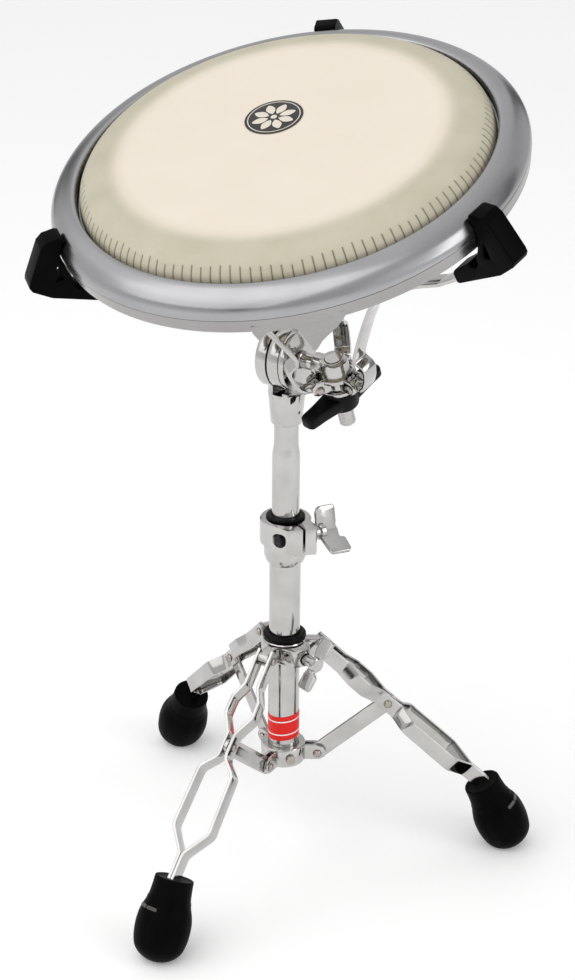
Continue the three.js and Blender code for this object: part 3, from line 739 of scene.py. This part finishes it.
for side, azimuth in LEG_AZIMUTH.items():
    place = leg_place(azimuth)
    body = side + "_leg"
    straps = merge("straps_" + side, [strap("strap", bow, place) for bow in (1, -1)])
    finish(straps, CHROME, body, "chrome", "leg_" + side)
    bar = strut("brace_" + side, STAND @ upright(azimuth))
    finish(bar, CHROME, side + "_strut", "chrome", "strut_" + side)
    finish(boot("boot_" + side, azimuth), RUBBER, body, "rubber", "foot_" + side)
    # the bars take the lighter rubber, a painted highlight
    finish(boot_marks("boot_marks_" + side, azimuth), MARK_HIGHLIGHT, body, "rubber")


# ------------------------------------------------------------------ basket hub pieces
rod = lathe("tilter_rod_looks", [
    (0, 13), (6.9, 13), (7.5, 13.6), (7.5, 15.4), (6.9, 16), (6.3, 16.2), (6.25, 16.6),
    (6.25, 33.6), (5.8, 34.2), (0, 34.2),
], TILTER @ Matrix.Rotation(rad(90), 4, "Y"), 64)
finish(rod, CHROME, "basket", "chrome", "tilter_rod")


def threaded(name, low, high, radius, pitch, place):
    """A threaded rod along z: a fine row of ridges, with a chamfer at its lower end."""
    relief = 0.15
    depth = 0.32
    chamfer = 0.8
    profile = [(0, low), (radius - 0.9, low), (radius - relief, low + chamfer)]
    z = low + chamfer
    while z + pitch < high:
        profile += [(radius, z + pitch * 0.35), (radius, z + pitch * 0.5),
                    (radius - depth, z + pitch * 0.85), (radius - depth, z + pitch)]
        z += pitch
    profile += [(radius - relief, high), (0, high)]
    return lathe(name, profile, place, 48, smooth_angle=40)


spindle = threaded("spindle_looks", -54, 10, 6.4, 1.5, BASKET)
finish(spindle, CAST, "basket", "fastener", "basket_spindle")


def nut_lobe(name, swing):
    outline = [
        (7, -10.5), (14, -9.4), (25, -7.6), (33, -6.9), (37.6, -6.0), (39.4, -3.4), (39.6, 0),
        (39.4, 3.4), (37.6, 6.0), (33, 6.9), (25, 7.6), (14, 9.4), (7, 10.5),
    ]
    where = BASKET @ Matrix.Translation((0, 0, NUT_WING_Z)) @ turn_z(swing)
    return plate(name, smooth_profile(outline, 4), 10.0, where, 2.6, rings=4)


nut = merge("wing_nut", [
    lathe("nut_body", [
        (6.8, -35.6), (10.6, -35.6), (12.2, -34.8), (12.8, -33), (13, -22), (12.6, -20),
        (11.6, -18.8), (6.8, -18.8),
    ], BASKET, 64),
    nut_lobe("nut_wing", 77),
    nut_lobe("nut_other_wing", 257),
])
finish(nut, PLASTIC, "nut", "black_plastic", "basket_nut")

# ------------------------------------------------------------------ basket arms and grips
ARM_PATH = [
    (27, -8.4), (31.5, -4.5), (35, 4), (36.6, 12.6), (35, 16), (29, 19.4), (28.6, 23), (32, 31),
    (36.5, 41), (45.5, 60), (55, 78), (66, 93), (80, 104), (94, 111), (112, 119), (127, 125),
    (141, 133.5), (152, 141), (160, 145.6), (170, 151),
]


def arm(name, angle):
    """A bent steel strip, and the tab with the eye that it turns on."""
    place = BASKET @ upright(angle)
    outline = band(fillet(ARM_PATH, 7.0, 4), 2.8)
    eye = circle(*ARM_PIVOT, 4.6, 40, 320, 20)
    tab = [(27.5, -6.4), (20.5, -7.0)] + eye + [(20.5, -12.6), (28.4, -10.0)]
    return merge(name, [
        plate("arm_strip", outline, 13.0, place, 0.45),
        plate("arm_tab", tab, 8.0, place, 0.4, holes=[circle(*ARM_PIVOT, 2.35, steps=16)]),
    ])


def grip_outline(top):
    """(outward, up) from the rim's outer edge at the seam; top is the block's highest point."""
    return [
        (-1.2, -11.6), (0.6, -2), (0.8, 1), (0.1, 5.4), (-2.2, 9.6), (-4.8, top - 3.4),
        (-4.4, top - 1.2), (-1.8, top), (7, top), (12, top - 3.4), (26.8, -10.5), (28, -14),
        (26.6, -17.6), (15, -27.5), (-8, -39), (-21.8, -46), (-24, -45.6), (-26.2, -39),
        (-25.2, -36.2), (-12.2, -26.2), *circle(-7.4, -23, 4.7, 215, 390, 10), (-2, -14.6),
    ]


def grip(name, angle, top):
    outline = [(RIM_R + r, h) for r, h in grip_outline(top)]
    window = fillet([(RIM_R + 4.5, -3), (RIM_R + 3.5, -16), (RIM_R + 9, -16)], 0.8, 3, closed=True)
    return plate(name, fillet(outline, 1.6, 4, closed=True), 16.6, DRUM @ upright(angle), 1.1,
                 holes=[window], rings=3)


for side, angle in ARM_ANGLES.items():
    body = side + "_arm"
    finish(arm("arm_strip_" + side, angle), CHROME, body, "chrome", "arm_" + side)
    block = grip("grip_block_" + side, angle, GRIP_TOP[side])
    finish(block, GRIP, body, "grip_rubber", "grip_" + side)


# ------------------------------------------------------------------ drum
def mark_turned(piece):
    """Stores where each corner lies round the drum, so that marks can run along it."""
    store = piece.data.attributes.new("turned", "FLOAT_VECTOR", "POINT")
    for i, vertex in enumerate(piece.data.vertices):
        p = TO_DRUM @ vertex.co
        a = math.atan2(p.y, p.x)
        store.data[i].vector = (math.cos(a), math.hypot(p.x, p.y) * 0.001, p.z * 0.001)


rim = lathe("rim_looks", [
    (170.6, 0.2), *smooth_profile([
        (170.6, 0.6), (170.5, 2.5), (169.6, 5.6), (167.8, 8.6), (165, 11.4), (161.4, 13.7),
        (157.4, 15.1), (153.6, 15.9), (151.2, 15.9), (149.9, 15.1), (149.6, 13.4), (149.6, 10.6),
    ], 5), (151.4, 10.6), (152.2, 13), (157, 12.3), (162, 10), (165.8, 6.4), (168, 0.2),
], DRUM, 288)
mark_turned(rim)
finish(rim, ALUMINIUM, "basket", "drum_metal", "rim")

shell_ring = lathe("shell_ring", [
    (170.3, -0.35), (170.5, -0.9), (170.3, -2.4), (169.6, -6.0), (168.9, -10.2), (168.3, -10.75),
    (165.8, -10.75), (166.6, -6.6), (140.1, -6.6), (139.5, -7.2), (139.5, -25.4), (139, -26),
    (135, -26), (134.5, -25.4), (134.5, 21), (135, 22), (135.8, 22.4), (136.8, 22.2),
    (137.8, 21.2), (139.5, 16), (139.5, -3.6), (167.4, -3.6), (167.8, -0.35),
], DRUM, 288)
mark_turned(shell_ring)
finish(shell_ring, SHELL_METAL, "basket", "drum_metal", "shell")
lug_outline = fillet([
    (-32, -5.5), (-31.6, -11), (-28.4, -18), (-26.2, -15.4), (-21.8, -12), (-6, -12),
    (-2.4, -14.6), (-1.2, -18.4), (1.8, -26), (4.6, -34.4), (7.4, -32), (11.5, -26.5),
    (23, -17.4), (29.5, -10), (30, -5.5),
], 1.4, 3, closed=True)
lug_place = DRUM @ turn_z(LUG_AZIMUTH) @ Matrix.Translation((165.4, 0, 0)) @ turn_z(90)
lug_place = lug_place @ Matrix.Rotation(rad(90), 4, "X")
lug = plate("shell_lug", lug_outline, 4.6, lug_place, 0.8, rings=3)
mark_turned(lug)
finish(lug, SHELL_METAL, "basket", "drum_metal")

HEAD_PROFILE = [
    (30, 29), (60, 29), (85, 28.95), (100, 28.9), (110, 28.8), (116, 28.6), (121, 28.3),
    (126, 27.8), (130, 27.1), (134, 26), (137.2, 24.6), (140, 22.8), (142.2, 21), (144, 18.8),
    (145.5, 16.6), (146.6, 14), (147.2, 11.4), (147.6, 8.6),
]


def crease_depth(angle):
    """0 between creases, 1 at the middle of one."""
    step = 2 * math.pi / CREASES
    half_width = step * 0.13
    away = abs((angle / step + 0.5) % 1.0 - 0.5) * step
    return max(0.0, 1 - away / half_width)


def head_shape(r, z, angle):
    """Presses the creases into the collar and lets it wander a little."""
    if r < COLLAR_R:
        return r, z
    ease = min(1.0, (r - COLLAR_R) / 1.5)
    wobble = 0.06 * math.sin(7 * angle + 1.3) + 0.05 * math.sin(19 * angle)
    return r - ease * (0.4 * crease_depth(angle)) + wobble * ease, z


head_points = [(0, HEAD_TOP)] + HEAD_PROFILE[:6] + smooth_profile(HEAD_PROFILE[6:], 3)
head_points += [(146.3, 8.6), (145.3, 13.6), (142.8, 18), (139, 21.8), (133.4, 24.8), (125.6, 26.5),
                (115, 27.5), (0, 27.7)]
head = lathe("head_film", head_points, DRUM, CREASES * CREASE_STEPS, head_shape, 60)
# Red says how far a point is onto the darker collar, and green how deep it is in a crease, where shade is
# painted in.
tone = head.data.color_attributes.new("tone", "FLOAT_COLOR", "POINT")
for i, vertex in enumerate(head.data.vertices):
    p = TO_DRUM @ vertex.co
    r = math.hypot(p.x, p.y)
    a = math.atan2(p.y, p.x) % (2 * math.pi)
    collar = min(1.0, max(0.0, (r - 111) / 15))
    start = 141.6 + 0.7 * math.sin(11 * a) + 0.4 * math.sin(31 * a)
    # painted shade in the creases, from a wandering radius outward
    crease_shade = crease_depth(a) if r > start else 0.0
    tone.data[i].color = (collar * collar * (3 - 2 * collar), min(1.0, crease_shade * 1.2), 0, 1)
finish(head, SKIN, "basket", "skin", "head")

hoop = lathe("head_hoop_looks", smooth_profile([
    (146.2, 4.9), (146.6, 2.6), (148.9, 1.8), (151.2, 2.6), (151.6, 4.9), (151.2, 7.2), (148.9, 8),
    (146.6, 7.2),
], 3), DRUM, 144)
finish(hoop, DARK_STEEL, "basket", "steel_hoop", "head_hoop")

# ------------------------------------------------------------------ emblem: a plain rosette
PRINT_THICK = 0.06
PRINT_TOP = EMBLEM_THICK + PRINT_THICK
EMBLEM_PLACE = DRUM @ Matrix.Translation((EMBLEM[0], EMBLEM[1], HEAD_TOP + 0.25))
disc = lathe("emblem_disc", [
    (0, 0), (20.9, 0), (21, 0.1), (21, 0.22), (20.8, EMBLEM_THICK), (0, EMBLEM_THICK),
], EMBLEM_PLACE, 96)
finish(disc, INK, "basket", "ink", "emblem")
band_ring = lathe("emblem_ring", [
    (18.4, EMBLEM_THICK), (19.1, EMBLEM_THICK), (19.1, PRINT_TOP), (18.4, PRINT_TOP),
], EMBLEM_PLACE, 96)
finish(band_ring, PALE_INK, "basket", "ink")
petal_outline = smooth_profile([
    (4.0, 0), (7, 2.4), (11.5, 3.2), (16, 0), (11.5, -3.2), (7, -2.4), (4.0, 0),
], 5)[:-1]
print_place = EMBLEM_PLACE @ Matrix.Translation((0, 0, EMBLEM_THICK + PRINT_THICK / 2))
petals = []
for number in range(PETAL_COUNT):
    where = print_place @ turn_z(360 / PETAL_COUNT * number)
    petals.append(plate("petal", petal_outline, PRINT_THICK, where, 0.01))
petals.append(lathe("petal_hub", [
    (0, EMBLEM_THICK), (2.3, EMBLEM_THICK), (2.3, PRINT_TOP), (0, PRINT_TOP),
], EMBLEM_PLACE, 32))
finish(merge("emblem_petals", petals), PALE_INK, "basket", "ink")

# ------------------------------------------------------------------ tuning bolts under the rim
hexagon = circle(0, 0, 5.19, steps=6)
for number in range(1, TUNER_COUNT + 1):
    angle = TUNER_START + 360 / TUNER_COUNT * (number - 1)
    where = DRUM @ turn_z(angle) @ Matrix.Translation((TUNER_RING_R, 0, 0))
    bolt = merge("tuner_%d_looks" % number, [
        plate("bolt_head", hexagon, 5.6, where @ Matrix.Translation((0, 0, -9.75)), 0.5),
        threaded("bolt_thread", -8, 8.6, 2.8, 1.0, where),
    ])
    finish(bolt, FASTENER, "tuner_%d" % number, "fastener", "tuning_bolt_%d" % number)

# ------------------------------------------------------------------ floor, light and camera
FLOOR_HALF = 30
floor_mesh = bpy.data.meshes.new("floor")
floor_mesh.from_pydata([
    (-FLOOR_HALF, -FLOOR_HALF, 0), (FLOOR_HALF, -FLOOR_HALF, 0),
    (FLOOR_HALF, FLOOR_HALF, 0), (-FLOOR_HALF, FLOOR_HALF, 0),
], [], [(0, 1, 2, 3)])
floor = bpy.data.objects.new("floor", floor_mesh)
bpy.context.scene.collection.objects.link(floor)
floor_mesh.materials.append(make_floor())


def area_light(name, location, target, size, power):
    """A soft rectangular light, in metres and watts, that faces the target."""
    light = bpy.data.lights.new(name, "AREA")
    light.shape = "RECTANGLE"
    light.size, light.size_y = size
    light.energy = power
    holder = bpy.data.objects.new(name, light)
    bpy.context.scene.collection.objects.link(holder)
    holder.location = location
    aim = Vector(target) - Vector(location)
    holder.rotation_euler = aim.to_track_quat("-Z", "Y").to_euler()


area_light("key", location=(-1.3, -1.1, 2.3), target=(0, 0, 0.45), size=(3.2, 3.2), power=26)
area_light("fill", location=(1.9, -0.9, 1.3), target=(0, 0, 0.4), size=(0.8, 1.6), power=8)

# (fraction of a turn from -X through -Y, grey): bright and dark panels round the horizon
PANELS = [
    (0.0, 0.78), (0.085, 0.66), (0.11, 0.62), (0.15, 0.62), (0.156, 0.05), (0.168, 0.05),
    (0.176, 0.6), (0.3, 0.6), (0.33, 0.88), (0.43, 0.88), (0.45, 0.36), (0.54, 0.28),
    (0.546, 0.06), (0.562, 0.06), (0.57, 0.7), (0.66, 0.66), (0.674, 0.05), (0.69, 0.05),
    (0.7, 0.6), (0.815, 0.6), (0.826, 0.05), (0.845, 0.05), (0.86, 0.7), (0.92, 0.7), (1.0, 0.78),
]
PANEL_BLUE = 1.01  # how much stronger the panels' blue is
CEILING_LEFT = 1.22  # towards -X
CEILING_RIGHT = 0.38
WORLD_STRENGTH = 1.1


def make_world():
    """Panels and a ceiling light the object and show in its gloss. The camera sees white."""
    world = bpy.data.worlds.new("studio")
    bpy.context.scene.world = world
    world.use_nodes = True
    tree = world.node_tree
    tree.nodes.clear()
    coord = tree.nodes.new("ShaderNodeTexCoord")
    split = tree.nodes.new("ShaderNodeSeparateXYZ")
    tree.links.new(coord.outputs["Generated"], split.inputs[0])
    azimuth = tree.nodes.new("ShaderNodeMath")
    azimuth.operation = "ARCTAN2"
    tree.links.new(split.outputs["Y"], azimuth.inputs[0])
    tree.links.new(split.outputs["X"], azimuth.inputs[1])
    scaled = tree.nodes.new("ShaderNodeMapRange")
    scaled.inputs["From Min"].default_value = -math.pi
    scaled.inputs["From Max"].default_value = math.pi
    tree.links.new(azimuth.outputs[0], scaled.inputs["Value"])
    panels = tree.nodes.new("ShaderNodeValToRGB")
    set_stops(panels.color_ramp, [(at, (grey, grey, grey * PANEL_BLUE)) for at, grey in PANELS])
    tree.links.new(scaled.outputs[0], panels.inputs["Fac"])
    dome = tree.nodes.new("ShaderNodeValToRGB")
    tree.links.new(split.outputs["Z"], dome.inputs["Fac"])
    set_stops(dome.color_ramp, [(0.45, 0.0), (0.8, 1.0)])
    blend = tree.nodes.new("ShaderNodeMix")
    blend.data_type = "RGBA"
    tree.links.new(dome.outputs["Color"], blend.inputs[0])
    tree.links.new(panels.outputs["Color"], blend.inputs[6])
    ceiling = tree.nodes.new("ShaderNodeMapRange")
    ceiling.inputs["From Min"].default_value = -1
    ceiling.inputs["To Min"].default_value = CEILING_LEFT
    ceiling.inputs["To Max"].default_value = CEILING_RIGHT
    tree.links.new(split.outputs["X"], ceiling.inputs["Value"])
    tree.links.new(ceiling.outputs[0], blend.inputs[7])
    path = tree.nodes.new("ShaderNodeLightPath")
    seen = tree.nodes.new("ShaderNodeMix")
    seen.data_type = "RGBA"
    tree.links.new(path.outputs["Is Camera Ray"], seen.inputs[0])
    tree.links.new(blend.outputs[2], seen.inputs[6])
    seen.inputs[7].default_value = (1, 1, 1, 1)
    background = tree.nodes.new("ShaderNodeBackground")
    background.inputs["Strength"].default_value = WORLD_STRENGTH
    tree.links.new(seen.outputs[2], background.inputs["Color"])
    output = tree.nodes.new("ShaderNodeOutputWorld")
    tree.links.new(background.outputs[0], output.inputs["Surface"])


make_world()
bpy.context.scene.view_settings.view_transform = "Standard"
bpy.context.scene.view_settings.look = "None"

CAMERA_AT = Vector((0, -1502.42, 991.22)) + SHIFT
PITCH = 23.8895  # downward
PAN = 0.0509
ROLL = 0.56962
FOCAL_LENGTH = 76.497
SENSOR_WIDTH = 36
forward = Vector((
    math.sin(rad(PAN)) * math.cos(rad(PITCH)),
    math.cos(rad(PAN)) * math.cos(rad(PITCH)),
    -math.sin(rad(PITCH)),
))
level = Vector((math.cos(rad(PAN)), -math.sin(rad(PAN)), 0))
over = level.cross(forward)
right = math.cos(rad(ROLL)) * level + math.sin(rad(ROLL)) * over
up = -math.sin(rad(ROLL)) * level + math.cos(rad(ROLL)) * over
lens = bpy.data.cameras.new("camera")
lens.lens = FOCAL_LENGTH
lens.sensor_width = SENSOR_WIDTH
lens.sensor_fit = "AUTO"
camera = bpy.data.objects.new("camera", lens)
bpy.context.scene.collection.objects.link(camera)
at = CAMERA_AT * 0.001
camera.matrix_world = Matrix((
    (right.x, up.x, -forward.x, at.x),
    (right.y, up.y, -forward.y, at.y),
    (right.z, up.z, -forward.z, at.z),
    (0, 0, 0, 1),
))
bpy.context.scene.camera = camera
